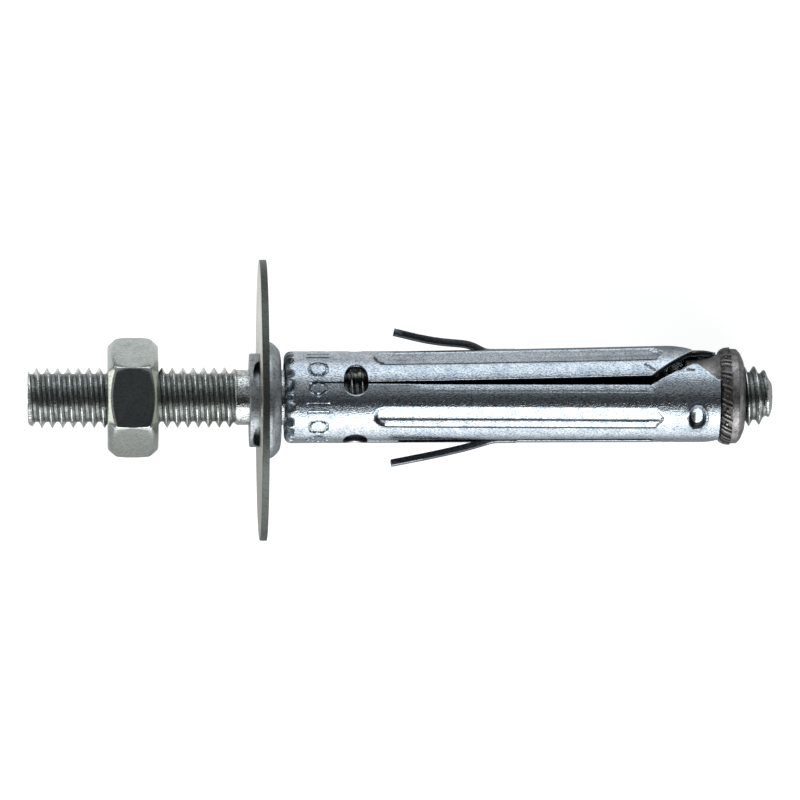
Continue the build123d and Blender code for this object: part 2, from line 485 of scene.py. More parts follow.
def helix_grid(low, high, columns, spare=1):
    """Where the points of a grid are whose rows follow the crests, flanks and roots: a row's turns
    times the pitch, less the pitch for each turn round. Also how much was clipped from that."""
    first = int(np.floor(np.min(low) / pitch)) - spare
    last = int(np.ceil(np.max(high) / pitch)) + spare + 2
    rows = (np.arange(first, last)[:, None] + np.array(turn_steps)).ravel() - thread_phase
    free = pitch * (rows[:, None] - columns / 360)
    at = np.clip(free, low, high)
    return at, np.abs(free - at)


def make_stud(material):
    """The stud: the shank's radius plus the thread's relief, which fades out at the shank, under
    a chamfer at one end and a flattened ellipse at the other. Past an end it shrinks to a pole."""
    columns = np.linspace(0, 360, 57)
    at, over = helix_grid(0.0, stud_length, columns, spare=2)
    relief = smooth((shank_start - at) / runout) + smooth((at - shank_end) / runout)
    radius = shank_radius + (thread_radius(at, columns) - shank_radius) * relief
    lead = lead_radius + (crest_radius - lead_radius) * at / lead_length
    beyond = np.clip((at - end_taper_at) / end_taper_length, 0, 1)
    taper = (1 - beyond**end_taper_power) ** 0.5
    radius = np.minimum(radius, lead) * taper
    radius = radius * np.clip(1 - over / cap_run, 0, 1)
    grid = place(np.maximum(at, stud_from), radius, columns)
    stud = build("stud_body", [grid], material, "stud", "stud", sharp=50)
    at, reached, _ = measured(stud)
    # Painted shade in the thread's roots
    root = root_dark * smooth((root_radius + root_dark_height - reached) / root_dark_fade)
    # Painted shade over the stretch inside the sleeve
    hidden = hidden_dark * between(at, *hidden_stretch)
    darken(stud, np.maximum(root * (at < root_dark_to), hidden))
    return stud


def hex_radius(angle, softness):
    """The nut's radius, with a flat at 0 degrees and slightly rounded corners: half the width
    across flats over the soft maximum of the six cosines."""
    flats = np.radians(np.arange(0, 360, 60))
    cosines = np.cos(np.radians(angle)[..., None] - flats)
    peak = np.log(np.exp(softness * (cosines - 1)).sum(axis=-1)) / softness + 1
    return nut_across_flats / 2 / peak


def make_nut(material):
    """The nut: a profile from bore to bore at every angle, and the threaded bore."""
    steps = np.array(nut_corner_steps)
    corners = np.arange(30, 390, 60)[:, None] + np.concatenate((-steps, (0,), steps))
    columns = np.unique(np.concatenate((corners.ravel() % 360, np.arange(0, 361, 5.0))))
    outer = hex_radius(columns, nut_softness_at_face)
    middle = hex_radius(columns, nut_softness)
    past_flat = outer - nut_across_flats / 2
    face = nut_face_radius + past_flat * nut_face_spread
    chamfer = nut_chamfer_length + past_flat * nut_chamfer_spread
    end = nut_start + nut_height
    mouth = nut_mouth_radius
    near = bore_radius(nut_start, columns)
    far = bore_radius(end, columns)
    low = nut_start + mouth - near
    high = end - mouth + far
    profile = (
        (low, near),
        (nut_start, mouth),
        (nut_start, face),
        (nut_start + chamfer, outer),
        (nut_start + chamfer + nut_corner_blend, middle),
        (end - chamfer - nut_corner_blend, middle),
        (end - chamfer, outer),
        (end, face),
        (end, mouth),
        (high, far),
    )
    faces = revolved(profile, nut_rounding + nut_rounding[::-1], columns, stud_start, steps=5)
    inside, _ = helix_grid(low, high, columns)
    mouth_edge = np.where(inside < (nut_start + end) / 2, near, far)
    cut = bore_radius(inside, columns) - mouth_edge
    bore = mouth_edge + cut * between(inside, low, high, bore_fade)
    inner = place(inside, bore, columns)
    return build("nut_body", [faces, inner], material, "nut", "hex_nut", sharp=25)


def revolved(profile, reach, columns, origin, steps=4):
    """A profile with softened corners, carried round the stud's axis."""
    at, radius = rounded(profile, reach, steps)
    if at.ndim == 1:
        at = at[:, None]
        radius = radius[:, None]
    return place(at, radius, columns, origin)


def make_washer(material):
    """The stamped washer: rounded on its nut side and crisp on the other."""
    columns = np.linspace(0, 360, 181)
    middle = (washer_start + washer_end) / 2
    profile = (
        (middle, washer_hole_radius),
        (washer_start, washer_hole_radius),
        (washer_start, washer_radius),
        (washer_end, washer_radius),
        (washer_end, washer_hole_radius),
        (middle, washer_hole_radius),
    )
    grid = revolved(profile, washer_rounding, columns, bush_start)
    washer = build("washer_body", [grid], material, "washer", "flat_washer")
    _, radius, _ = measured(washer, bush_start)
    # Painted shade over the rim
    darken(washer, smooth((radius - washer_radius + washer_dark_rim) / washer_dark_fade))
    return washer


def make_bush(material):
    """The bush: a staked ring with four notches, a barrel through the washer, and a dome."""
    columns = np.linspace(0, 360, 241)
    from_notch = np.abs((columns - staked_notch_angle + 45) % 90 - 45)
    width = bush_barrel_radius * np.radians(from_notch)
    depth = staked_notch_depth * np.sqrt(np.clip(1 - (width / staked_notch_half_width) ** 2, 0, 1))
    back = washer_start - depth
    rim_end = washer_end + dome_rim_length
    chamfer = (staked_ring_start + staked_chamfer, bush_bore_radius)
    profile = (
        chamfer,
        (staked_ring_start, bush_bore_radius + staked_chamfer),
        (staked_ring_start, staked_ring_radius),
        (back, staked_ring_radius),
        (back, staked_notch_floor),
        (washer_start, staked_notch_floor),
        (washer_start + barrel_foot, bush_barrel_radius),
        (dome_crown - dome_wall, bush_barrel_radius),
        (rim_end, dome_pocket_radius),
        (washer_end, dome_pocket_radius),
        (washer_end, dome_radius),
        (rim_end + dome_rim_curve, dome_radius),
        (dome_crown - dome_shoulder_length, dome_crown_radius + dome_shoulder_width),
        (dome_crown, dome_crown_radius),
        (dome_crown, bush_bore_radius),
        chamfer,
    )
    grid = revolved(profile, bush_rounding, columns, bush_start)
    return build("bush_body", [grid], material, "washer", "domed_bush")


def make_cone(material):
    """The cone nut: a wedge, a marked band and a plain rim, with the thread cut in its bore."""
    columns = np.linspace(0, 360, 361)
    band = np.linspace(cone_band[0] - 0.1, cone_band[1] + 0.1, cone_band_rows)
    profile = rounded(cone_profile, cone_rounding, steps=4)
    at = np.unique(np.concatenate((profile[0], band)))[:, None]
    radius = np.interp(at, *profile)
    # Slanted bars on the band, all leaning one way: every third short, a fifth a little shorter
    cycle = (columns + (at - cone_band[0]) * cone_mark_lean) / cone_mark_pitch
    bar = stripe(cycle % 1.0 - 0.5, *cone_mark_stroke)
    count = np.floor(cycle)
    short = (count % 3 == 0) * cone_third_shorter + (count % 5 == 1) * cone_fifth_shorter
    on_band = between(at, cone_band[0] + short, cone_band[1] - short, cone_mark_fade)
    raised = radius + cone_mark_height * bar * on_band
    near_at, far_at = cone_profile[0][0], cone_profile[-1][0]
    near = bore_radius(near_at, columns)
    far = bore_radius(far_at, columns)
    outside = place(at, raised, columns)
    share = np.linspace(0, 1, 3)[:, None]
    nose = place(near_at, near + (raised[0] - near) * share, columns)
    tail = place(far_at, raised[-1] + (far - raised[-1]) * share, columns)
    inside, _ = helix_grid(near_at, far_at, columns)
    bore = place(inside, bore_radius(inside, columns), columns)
    grids = [nose, outside, tail, bore]
    cone = build("cone_body", grids, material, "stud", "cone_nut", sharp=30)
    # Painted shade on the band, in the low places between the raised bars
    at, reached, _ = measured(cone)
    height = reached - np.interp(at, *profile)
    low = smooth((cone_dark_below * cone_mark_height - height) / cone_dark_depth)
    darken(cone, cone_dark * between(at, *cone_band, cone_dark_fade) * low)
    return cone


def arc(width):
    """An arc length on the sleeve's outside turned to degrees."""
    return np.degrees(width / sleeve_radius)


def straight_edge(at, height):
    """A finger's edge in degrees from the slit line: half an ellipse at the punched hole, and then
    the slit, which widens with the 0.7th power of the distance."""
    share = np.clip((at - hole_at) / (slit_end - hole_at), 0, 1) ** slit_growth
    slit = slit_half_width + (slit_end_half_width - slit_half_width) * share
    hole = np.sqrt(np.clip(1 - ((at - hole_at) / hole_half_length) ** 2, 0, 1)) * height
    return arc(np.maximum(hole, slit * (at > hole_at)))


def head_edge(at, height):
    """A head's edge in degrees from the slit line, negative where it forks out past the line."""
    knots = (head_fork_from, head_peak_from, head_peak_to, head_back_at, sleeve_end)
    values = (arc(slit_end_half_width), *[-head_peak_angle] * 2, *[-head_back_angle] * 2)
    straight = straight_edge(at, height)
    return np.where(at <= head_fork_from, straight, np.interp(at, knots, values))


def point_edge(at, height):
    """A pointed finger's edge in degrees from the slit line: it tapers past the slit's end."""
    straight = straight_edge(at, height)
    tip = 45 - arc(point_half_width)
    tapered = np.interp(at, (slit_end, point_at), (point_root_angle, tip))
    return straight + (tapered - straight) * smooth((at - slit_end) / point_root_length + 1)


def window_edge(at, edge):
    """The same edge cut back beside the barb: each corner of the window is a short ramp."""
    window = between(at, barb_window_start, barb_root, barb_window_ramp)
    return edge + (45 - barb_window_angle - edge) * window


def groove(at, width, wall, crease_at):
    """Depth of a pressed groove: the least of three slopes, from its sides (a small step, then a
    shallow fall), its round near end and its arrow's tip, with a crease beside its middle."""
    half = groove_width / 2
    inside = half - np.abs(width)
    near_end = half - np.hypot(np.minimum(at - groove_start - half, 0), width)
    near_end = np.where(at < groove_start + half, near_end, half)
    far_end = groove_end - at - np.abs(width) * groove_tip_slope
    far_end = far_end / np.hypot(1, groove_tip_slope)
    fall = groove_fall * np.clip(inside / (half - groove_level), 0, 1)
    side = groove_step * smooth(inside / wall) + fall
    near = groove_near_depth * smooth(near_end / groove_near_wall)
    far = (groove_step + groove_fall) * smooth(far_end / groove_far_wall)
    crease = groove_crease_depth * stripe(width - crease_at, *groove_crease_stroke)
    for end, (start, fade) in ((far_end, crease_from_tip), (near_end, crease_from_round_end)):
        crease = crease * smooth((end - start) / fade)
    return np.minimum(np.minimum(side, near), far) + crease


def lip(at, from_edge):
    """Depth of the lip along a head's slit: the sheet falls to its edge from a fine crease."""
    fall = lip_depth * np.clip(1 - from_edge / lip_width, 0, 1)
    crease = lip_crease_depth * stripe(from_edge - lip_crease_at, *lip_crease_stroke)
    return (fall + crease) * between(at, *lip_stretch)


def from_dimple(at, width):
    """How far ahead of a dimple's middle, above it and out in all, as shares of its half size."""
    ahead = (at - dimple_at) / dimple_half_length
    above = (width - dimple_off_middle) / dimple_half_width
    return ahead, above, np.hypot(ahead, above)


def dimple(at, width):
    """Depth of the round dimple in each head: a bowl inside a low raised ring."""
    _, _, out = from_dimple(at, width)
    bowl = dimple_depth * smooth((dimple_bowl_to - out) / dimple_bowl_wall)
    return bowl - dimple_rim_height * bell(out - dimple_rim_at, dimple_rim_width)


def collar_marks(at, angle):
    """Depth of plain marks engraved round the collar: open rings, bars in pairs, open diamonds."""
    turned = (angle - seam_angle - mark_past_seam) / mark_pitch
    width = (turned % 1.0 - 0.5) * mark_pitch * degree
    kind = np.floor(turned) % 3
    off = at - mark_at
    ring = stripe(np.hypot(off / ring_stretch, width) - ring_radius, *ring_stroke)
    bars = stripe(np.abs(width) - bar_off_middle, *bar_stroke) * stripe(off, *bar_reach)
    diamond = np.abs(off) / diamond_stretch[0] + np.abs(width) / diamond_stretch[1]
    diamond = stripe(diamond - diamond_size, *diamond_stroke)
    return mark_depth * np.where(kind == 0, ring, np.where(kind == 1, bars, diamond))


def seam_line(at, angle):
    """Depth of the butt seam that runs from the turned-in end to the punched hole."""
    off = ((angle - seam_angle + 180) % 360 - 180) * degree
    start = smooth((at - seam_from) / seam_fade)
    return seam_depth * stripe(off, *seam_stroke) * (at < hole_at) * start


def ticks(at, width, lines):
    """Depth of short creases: each is deepest on the straight line between its two ends."""
    depth = 0.0
    for start, end in lines:
        run = np.subtract(end, start)
        share = ((at - start[0]) * run[0] + (width - start[1]) * run[1]) / (run**2).sum()
        share = np.clip(share, 0, 1)
        off = np.hypot(at - start[0] - share * run[0], width - start[1] - share * run[1])
        depth = depth + tick_depth * stripe(off, *tick_stroke)
    return depth


def drift(at):
    """How far to one side a head's groove has run, evenly along it."""
    return groove_drift * np.clip((at - groove_start) / (groove_end - groove_start), 0, 1)


def pressed(at, angle, centre, is_head):
    """How far the sheet is pushed inwards at a point of the sleeve."""
    width = (angle - centre) * degree
    if is_head:
        depth = groove(at, width - drift(at), groove_wall, groove_crease_at)
        return depth + dimple(at, width) + ticks(at, width, head_ticks)
    aside = width - point_groove_aside
    depth = groove(at, aside, point_groove_wall, point_crease_at) * point_groove_share
    return depth + ticks(at, width, point_ticks)


def engraved(at, angle):
    """How deep the outside alone is cut."""
    return collar_marks(at, angle) + seam_line(at, angle)


def sleeve_rows(stretches):
    """Where the rows of a finger are: round its hole and in some stretches."""
    parts = [hole_at - hole_half_length * np.cos(np.linspace(0, pi, 27))]
    parts += [np.linspace(*stretch) for stretch in stretches]
    return np.unique(np.round(np.concatenate(parts), 5))


def columns_across(count, clusters):
    """Places across a finger from -1 to 1, close together at its edges and in each cluster."""
    parts = [np.sin(np.linspace(-1, 1, count) * edge_crowding) / sin(edge_crowding)]
    parts += [middle / finger_half_width + np.linspace(*run) for middle, *run in clusters]
    return np.unique(np.concatenate(parts))


across_head = columns_across(71, (
    (groove_width / 2, -0.05, 0.03, 10),
    (-groove_width / 2, -0.03, 0.05, 10),
    (groove_crease_at, -0.04, 0.04, 10),
))
across_point = columns_across(61, (
    (groove_width / 2 + point_groove_aside, -0.03, 0.03, 8),
    (point_crease_at + point_groove_aside, -0.05, 0.06, 16),
))


def quadrant_angles(centre, edge, across):
    """Angles across a finger between its two edges."""
    return centre + (45 - edge)[..., None] * across


def side_wall(line, softness, sign, top, bottom):
    """Angles and radii down a finger's side wall, from one softened corner to the other."""
    drop = softness[:, None] * (1 - np.cos(wall_corner))
    corner = line[:, None] - sign * arc(softness)[:, None] * (1 - np.sin(wall_corner))
    upper = top[:, None] - drop
    lower = bottom[:, None] + drop
    wall = upper[:, -1:] + (lower[:, -1:] - upper[:, -1:]) * wall_shares
    straight = np.broadcast_to(line[:, None], wall.shape)
    angles = np.concatenate((corner, straight, corner[:, ::-1]), axis=1)
    return angles, np.concatenate((upper, wall, lower[:, ::-1]), axis=1)


def make_finger(centre, is_head, rows):
    """A finger as a closed loop carried along the sleeve: across the outside, down a side wall
    with softened corners, back across the inside and up the other wall. The corners start at
    nothing where the hole opens."""
    if is_head:
        edge = head_edge(rows, hole_half_width - hole_offset)
        end_from, end_softness = head_fork_from, head_softness
        bevel = head_bevel * np.clip((rows - sleeve_end) / head_bevel_length + 1, 0, 1)
        drifted = drift(rows)[:, None] / finger_half_width * (1 - across_head**2)
        across = across_head + drifted
    else:
        edge = point_edge(rows, hole_half_width + hole_offset)
        end_from, end_softness = slit_end, point_softness
        bevel = np.zeros_like(rows)
        across = across_point
    widest = slit_softness + hole_softness * (rows < hole_at + hole_half_length)
    softness = widest * np.clip(np.abs(edge) * degree / widest, 0, 1)
    softness = np.where(rows > end_from, end_softness, softness)

    angle = quadrant_angles(centre, edge + arc(softness), across)
    high_edge = edge
    if not is_head:
        high_edge = window_edge(rows, edge)
        angle = np.minimum(angle, (centre + 45 - high_edge - arc(softness))[:, None])
    at = np.broadcast_to(rows[:, None], angle.shape)
    push = pressed(at, angle, centre, is_head)
    if is_head:
        push = push + lip(at, (angle[:, -1:] - angle) * degree)
    outside = sleeve_radius - push - engraved(at, angle)
    inside = sleeve_radius - sheet - push + bevel[:, None]
    high = side_wall(centre + 45 - high_edge, softness, 1, outside[:, -1], inside[:, -1])
    low = side_wall(centre - 45 + edge, softness, -1, outside[:, 0], inside[:, 0])
    loops = [
        np.concatenate((over, down[:, 1:-1], under[:, ::-1], up[:, -2:0:-1], over[:, :1]), axis=1)
        for over, down, under, up in zip((angle, outside), high, (angle, inside), low)
    ]
    points = place(rows[:, None], loops[1], loops[0])
    if not is_head:
        points = points + out_at(centre) * mm * finger_bend(centre, rows)[:, None, None]
    return points


def finger_bend(centre, at):
    """How far a pointed finger stands out, growing with the 1.3th power of the distance."""
    share = np.clip((at - point_bend_from) / (point_at - point_bend_from), 0, 1)
    return point_bend[point_angles.index(centre)] * share**point_bend_power


def finger_end(loop):
    """A patch that fills a finger's end, straight from outside to inside, with its two sides
    pulled to the side walls."""
    count = (len(loop) - 2 * side_columns - 1) // 2
    back = count + side_columns
    outside = loop[:count]
    inside = loop[back : back + count][::-1]
    high_wall = loop[count - 1 : back + 1]
    low_wall = loop[back + count - 1 :][::-1]
    blend = np.linspace(0, 1, len(high_wall))[:, None, None]
    straight = outside[None] * (1 - blend) + inside[None] * blend
    share = np.linspace(0, 1, count)[None, :, None]
    low_fix = (low_wall - straight[:, 0])[:, None, :] * (1 - share)
    high_fix = (high_wall - straight[:, -1])[:, None, :] * share
    return straight + low_fix + high_fix


def pleats(angle):
    """Depth of the pleats from 0 to 1: a zigzag cut level, which wanders and swells in waves."""
    waves = [high * np.sin(np.radians(angle * n + shift)) for high, n, shift in pleat_waves]
    zigzag = np.abs((angle * pleat_count / 360 + (waves[0] + waves[1]) / 6) % 1.0 * 2 - 1)
    return np.clip(zigzag * pleat_steepness - pleat_flat, 0, 1) * (pleat_mean + waves[2])


def make_collar(centre):
    """A quarter of the collar, from the end's hole to the fingers, round a quarter circle that
    has pleats pressed into it."""
    angle = quadrant_angles(centre, np.zeros(1), across_head)
    turn = np.radians(np.linspace(0, 90, 10))
    corner_at = sleeve_start + turned_in_corner
    rows = np.linspace(corner_at + collar_rows_apart, fingers_from, collar_rows)
    few_rows = np.append(rows[:-6:6], fingers_from)
    skins = []
    for depth, straight in ((0.0, rows), (sheet, few_rows)):
        corner = turned_in_corner - depth
        level = sleeve_radius - depth
        at = ((sleeve_start + depth,), corner_at - corner * np.cos(turn), straight)
        reach = ((turned_in_radius,), level - corner * (1 - np.sin(turn)), level + 0 * straight)
        skins.append((np.concatenate(at)[:, None], np.concatenate(reach)[:, None]))
    (outer_at, outer_reach), (inner_at, inner_reach) = skins
    near = smooth((corner_at + crimp_past_corner - outer_at) / crimp_fade)
    near = near * smooth((outer_reach - crimp_from) / crimp_rise)
    outer_reach = outer_reach - crimp_depth * pleats(angle) * near - engraved(outer_at, angle)
    outer = place(outer_at, outer_reach, angle)
    inner = place(inner_at, inner_reach, angle)
    return [outer, inner, np.stack((outer[0], inner[0]))]


def barb_section(half):
    """A barb's cross-section, curved as the sleeve: a closed loop of places across and up."""
    soft = barb_softness
    side = np.linspace(-1, 1, 13)
    level = barb_half_width - soft
    curve = (1 - side**2) * barb_half_width**2 / (2 * sleeve_radius)
    corner = np.radians((0, 30, 60, 90))
    top = np.stack((side * level, half + curve), axis=1)
    bottom = np.stack((side * level, -half + curve), axis=1)[::-1]
    right = [(level + soft * sin(a), half - soft + soft * cos(a)) for a in corner[1:]]
    right += [(level + soft * cos(a), -half + soft - soft * sin(a)) for a in corner[:-1]]
    left = [(-x, z) for x, z in right[::-1]]
    return np.concatenate((top, right, bottom, left, top[:1]))


def make_barb(point_centre):
    """A barb: a strip bent steeply out of the finger and then straight to its square-cut tip.
    Its middle line is a chain of straight runs joined by parabolas."""
    centre = point_centre + barb_angle_from_point
    half = barb_thickness / 2
    path = [(-barb_foot, sleeve_radius - sheet / 2)]
    outline = barb_outline[point_angles.index(point_centre)]
    path += [(-at, radius - half) for at, radius in outline]
    turned, risen = rounded(path, barb_rounding, steps=9)
    run = np.linspace(0, 1, barb_rows)
    at = -np.interp(run, np.linspace(0, 1, len(turned)), turned)
    height = np.interp(-at, turned, risen)
    rise = np.gradient(height, at)
    norm = np.sqrt(1 + rise**2)
    loop = barb_section(half)
    across, up = loop[None, :, :1], loop[None, :, 1:]
    point = stud_start + along * mm * (at[:, None, None] - up * (rise / norm)[:, None, None])
    point = point + out_at(centre) * mm * (height[:, None, None] + up / norm[:, None, None])
    point = point + out_at(centre + 90) * mm * across
    point = point + out_at(point_centre) * mm * finger_bend(point_centre, barb_root)
    caps = [np.stack((row, row * 0 + row[:-1].mean(axis=0))) for row in (point[0], point[-1])]
    return [point] + caps


def make_sleeve(material):
    """The sleeve in three pieces: collar with pointed fingers and barbs, and the two heads."""
    point_rows = sleeve_rows(point_stretches)
    head_rows = sleeve_rows(head_stretches)
    cut = np.argmax(head_rows > hole_at + hole_half_length + head_cut_past_hole)
    main = []
    for centre in point_angles:
        finger = make_finger(centre, False, point_rows)
        main += make_collar(centre) + [finger, finger_end(finger[-1])] + make_barb(centre)
    heads = []
    for centre in head_angles:
        whole = make_finger(centre, True, head_rows)
        main += make_collar(centre) + [whole[: cut + 1], finger_end(whole[cut])]
        heads.append([whole[cut:], finger_end(whole[cut]), finger_end(whole[-1])])
    pieces = []
    names = ("sleeve_collar", "front_head", "back_head")
    for name, grids, centre in zip(names, [main] + heads, (None,) + head_angles):
        piece = build(name, grids, material, "sleeve", "expansion_sleeve", sharp=32)
        if centre is not None:
            spread_head(piece, centre, head_rows[cut])
        pieces.append(piece)
    for piece in pieces:
        at, radius, facing = measured(piece)
        # Painted shade on the cut walls of the hole, slits and fingers
        edge_shade = stripe(facing, *edge_shade_stroke)
        edge_shade = edge_shade * smooth((at - fingers_from + edge_shade_before) / edge_shade_fade)
        # Painted shade over the barbs, short of their tips
        on_barb = (radius > sleeve_radius + barb_dark_above) & (piece is pieces[0])
        on_barb = on_barb & (at > barb_dark_from) & (at < barb_root)
        # Painted shade over the inside of the sleeve
        inner = inside_dark * smooth((-facing - inside_from) / inside_fade)
        # Painted shade in the pressed lines and the dimples
        lines = recessed(piece) * (facing > 0)
        darken(piece, np.maximum.reduce((edge_shade, barb_dark * on_barb, inner, lines)))
    return pieces


def dimple_dark(at, width):
    """How much painted shade a dimple gets: over its top, in its bottom and on its near side."""
    ahead, above, out = from_dimple(at, width)
    dark = []
    for side, (line, line_width, start, fade) in ((above, dimple_top), (-above, dimple_bottom)):
        dark.append(bell(out - line, line_width) * smooth((side - start) / fade))
    near_side = smooth((0.98 - out) / 0.15) * smooth((-ahead - 0.02) / 0.25)
    return np.maximum.reduce((*dark, near_side * smooth((0.5 - above) / 0.3)))


def recessed(piece):
    """How much painted shade the bottoms of the pressed lines get, read with each finger's bend
    taken back.
    """
    arm, at = point_arms(piece, stud_start)
    at = at / mm
    dark = np.zeros(len(at))
    half = groove_width / 2
    for centre in head_angles + point_angles:
        is_point = centre in point_angles
        flat = arm
        if is_point:
            flat = arm - out_at(centre) * mm * finger_bend(centre, at)[:, None]
        angle = np.degrees(np.arctan2(flat @ sideways, flat @ outward))
        on_sheet = ((angle - centre + 180) % 360 - 180) * degree
        width = on_sheet - (point_groove_aside if is_point else drift(at))
        crease_at = point_crease_at if is_point else groove_crease_at
        line_width = point_line_width if is_point else head_line_width
        stretch = (groove_start + line_dark_inset, groove_end - line_dark_inset)
        inside = between(at, *stretch, line_dark_fade)
        line = bell(width - crease_at, line_width) * inside
        wall = bell(width + half - wall_dark_inset, wall_dark_width) * inside * wall_dark
        round_end = half - np.hypot(at - groove_start - half, width)
        near = between(round_end, *round_end_band) * smooth((0.35 - width) / 0.3)
        near = near * (at < groove_start + half) * round_end_dark
        share = np.maximum.reduce((line, wall, near))
        if not is_point:
            share = np.maximum(share, dimple_dark(at, on_sheet))
        dark = np.where(np.abs(on_sheet) < 44 * degree, share, dark)
    return dark


def spread_head(head, centre, root_at):
    """Gives a head a mesh of its own; the anchor at its root is worked out but not used."""
    anchor = place(np.array(root_at), np.array(sleeve_radius - sheet / 2), np.array(centre))
    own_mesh(head)


def add_node(tree, kind, inputs, **settings):
    """A new shader node with its settings and inputs."""
    node = tree.nodes.new("ShaderNode" + kind)
    for name, value in settings.items():
        setattr(node, name, value)
    feed(tree, node, inputs)
    return node


def feed(tree, node, inputs):
    """Sets inputs of a node, or links them where another node's output is given."""
    for socket, value in inputs.items():
        if isinstance(value, bpy.types.NodeSocket):
            tree.links.new(value, node.inputs[socket])
        else:
            node.inputs[socket].default_value = value


def add_material(name):
    """A new material with nodes, its node tree and its shader."""
    material = bpy.data.materials.new(name)
    material.use_nodes = True
    return material, material.node_tree, material.node_tree.nodes["Principled BSDF"]


def speckled(tree, coordinates, size, stretch, detail):
    """A fine noise whose grains are drawn out along the anchor."""
    squeeze = add_node(tree, "Mapping", {"Scale": (1 / stretch, 1, 1), "Vector": coordinates})
    noise = {"Scale": 1 / (size * mm), "Detail": detail, "Vector": squeeze.outputs["Vector"]}
    return add_node(tree, "TexNoise", noise).outputs["Fac"]


def spread(tree, value, low, high, to_low, to_high):
    """A value carried from one range to another and kept inside it."""
    limits = {"From Min": low, "From Max": high, "To Min": to_low, "To Max": to_high}
    return add_node(tree, "MapRange", limits | {"Value": value}).outputs["Result"]


blotch_band = (0.36, 0.62)
gloss_band = (0.3, 0.7)
pit_band = (0.38, 0.52)
dark_roughness = 0.45


def metal(name, colour, stain, roughness, grain, grain_size, blotch_size, pits=0.6, stretch=1.8,
          dark=None):
    """Plated metal: soft blotches in colour and roughness, fine dark pits and a bumpy grain, all
    by the object's coordinates. Edges and recesses marked by an attribute get painted shade,
    dark and rough."""
    material, tree, shader = add_material(name)
    coordinates = tree.nodes.new("ShaderNodeTexCoord").outputs["Object"]
    blotch = speckled(tree, coordinates, blotch_size, 1.0, 5)
    fine = speckled(tree, coordinates, grain_size, stretch, 3)
    tint = add_node(tree, "ValToRGB", {"Fac": blotch})
    for stop, position, shade in zip(tint.color_ramp.elements, blotch_band, (stain, colour)):
        stop.position = position
        stop.color = (*shade, 1)
    base = tint.outputs["Color"]
    gloss = spread(tree, blotch, *gloss_band, roughness[1], roughness[0])
    # Painted shade: where the attribute says, the colour goes to the dark one and the surface
    # rougher
    if dark:
        mark = add_node(tree, "Attribute", {}, attribute_name="painted_shade").outputs["Fac"]
        edge = {"Factor": mark, "A": base, "B": (*dark, 1)}
        base = add_node(tree, "Mix", edge, data_type="RGBA").outputs["Result"]
        rough = {"Factor": mark, "A": gloss, "B": dark_roughness}
        gloss = add_node(tree, "Mix", rough).outputs["Result"]
    pitted = {"Factor": 1.0, "A": base, "B": spread(tree, fine, *pit_band, pits, 1.0)}
    pitted = add_node(tree, "Mix", pitted, data_type="RGBA", blend_type="MULTIPLY")
    bump = add_node(tree, "Bump", {"Distance": grain * mm, "Height": fine})
    feed(tree, shader, {
        "Metallic": 1.0,
        "Base Color": pitted.outputs["Result"],
        "Roughness": gloss,
        "Normal": bump.outputs["Normal"],
    })
    return material


# Camera: it looks down on the anchor, as the photo does
camera_distance = 663.0
camera_lean = 2.6
camera_roll = 0.15
aim_distance = 35.87
aim_side = -0.29
field_width = 76.92
sensor_width = 36.0

# Stage, in metres. To metal the floor is bright past a slanted line in front of the anchor, and
# half bright behind it.
floor_half = 3.0
floor_grey = 0.62
floor_to_camera = 0.78
bright_floor_slope = 0.463
bright_floor_front = (-0.034, -0.029, 1.3, 0.04)
bright_floor_rear = (0.006, 0.016, 0.0, 0.5)
world_level = 0.35
world_to_camera = 0.65
card_height = 1.2
card_front_angle = 42.0
card_rear_angle = 9.0
card_near = 0.4
card_far = 0.7
end_card_foot = 0.02
floor_strip_height = 0.0004
floor_strip_corners = ((-0.3, 0.05), (0.3, 0.038), (0.3, 0.054), (-0.3, 0.082))
side_card_at = 0.1
side_card_sides = (-0.16, 0.03)
side_card_height = 0.05
lamps = (
    ("front_box", (0.05, -0.85, 0.43), (1.6, 0.74), 2.7, (1.0, 1.0, 1.0)),
    ("back_box", (0.1, 0.98, 0.34), (1.4, 0.72), 1.35, (0.9, 0.95, 1.0)),
    ("left_box", (-1.0, 0.1, 0.32), (0.8, 0.6), 1.5, (1.0, 0.95, 0.84)),
)


def make_camera():
    """The camera that sees the stud level, from a little towards its nut end."""
    target = stud_start + along * aim_distance * mm + sideways * aim_side * mm
    lean = radians(camera_lean)
    roll = radians(camera_roll)
    back = outward * cos(lean) - along * sin(lean)
    level = np.cross(sideways, back)
    right = level * cos(roll) - sideways * sin(roll)
    upright = sideways * cos(roll) + level * sin(roll)
    spot = target + back * camera_distance * mm
    data = bpy.data.cameras.new("camera")
    data.sensor_width = sensor_width
    data.lens = sensor_width * camera_distance / field_width
    data.clip_start = 0.01
    data.clip_end = 20
    camera = add_object("camera", data)
    turn = Matrix((right, upright, back)).transposed().to_4x4()
    camera.matrix_world = Matrix.Translation(Vector(spot)) @ turn
    bpy.context.scene.camera = camera
    return target, back


def seen_rays(tree, camera_level, gloss_level):
    """A level for camera rays, another for those that metal or glass sends on, 0 for the rest."""
    path = tree.nodes.new("ShaderNodeLightPath").outputs
    sent_on = {0: path["Is Glossy Ray"], 1: path["Is Transmission Ray"]}
    sent_on = add_node(tree, "Math", sent_on, operation="ADD").outputs[0]
    scaled = add_node(tree, "Math", {0: sent_on, 1: gloss_level}, operation="MULTIPLY").outputs[0]
    total = {0: path["Is Camera Ray"], 1: camera_level, 2: scaled}
    return add_node(tree, "Math", total, operation="MULTIPLY_ADD").outputs[0]


def make_flat(name, corners, material):
    """A flat of the stage: one four-sided face."""
    mesh = bpy.data.meshes.new(name)
    mesh.from_pydata([tuple(corner) for corner in corners], [], [(0, 1, 2, 3)])
    mesh.materials.append(material)
    flat = add_object(name, mesh)
    flat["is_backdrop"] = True
    return flat


